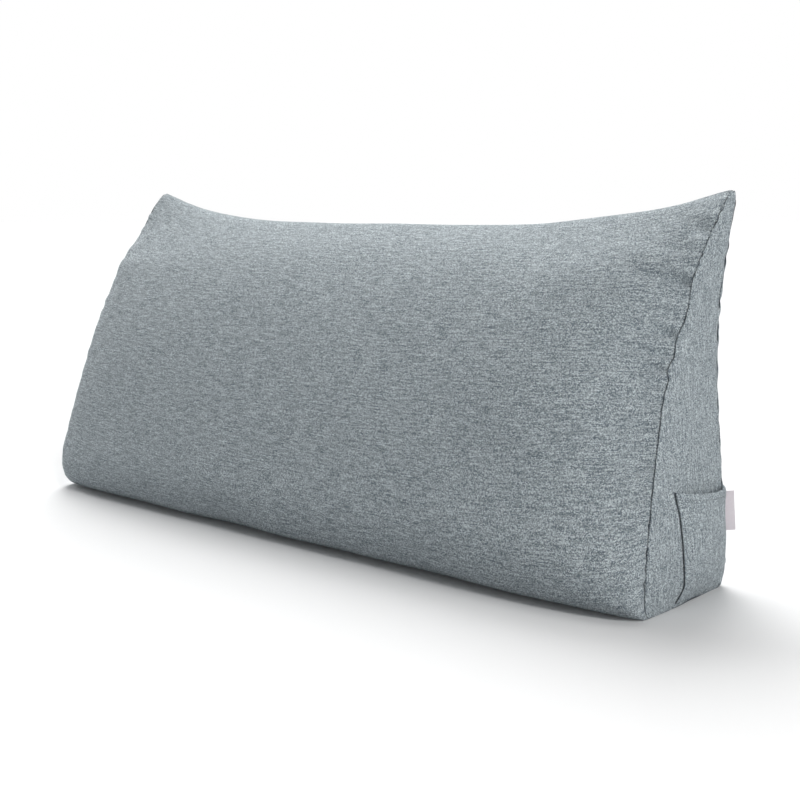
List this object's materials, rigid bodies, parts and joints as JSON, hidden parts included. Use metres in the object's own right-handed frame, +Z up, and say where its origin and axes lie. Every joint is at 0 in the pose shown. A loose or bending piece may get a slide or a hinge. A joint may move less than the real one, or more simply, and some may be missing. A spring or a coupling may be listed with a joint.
{
  "type": "backrest pillow",
  "caption": "Filled wedge backrest pillow that stands on its flat base, with a sloped rounded front, drawn-in ends, an open side pocket and a blank sewn-in label.",
  "frame": {"origin": "on the base, under the middle of the bounding box", "axes": "+X towards the end that carries the pocket, +Y towards the upright back, -Y towards the sloped front, +Z up"},
  "size_m": [1.1704, 0.2748, 0.496],
  "materials": {
    "cover_fabric": "blue-grey melange linen-look weave, matt",
    "label_ribbon": "pale pinkish white woven ribbon, soft sheen, blank"
  },
  "bodies": {
    "root": {"pillow": "cover_fabric", "side_pocket": "cover_fabric", "label": "label_ribbon"}
  },
  "joints": []
}
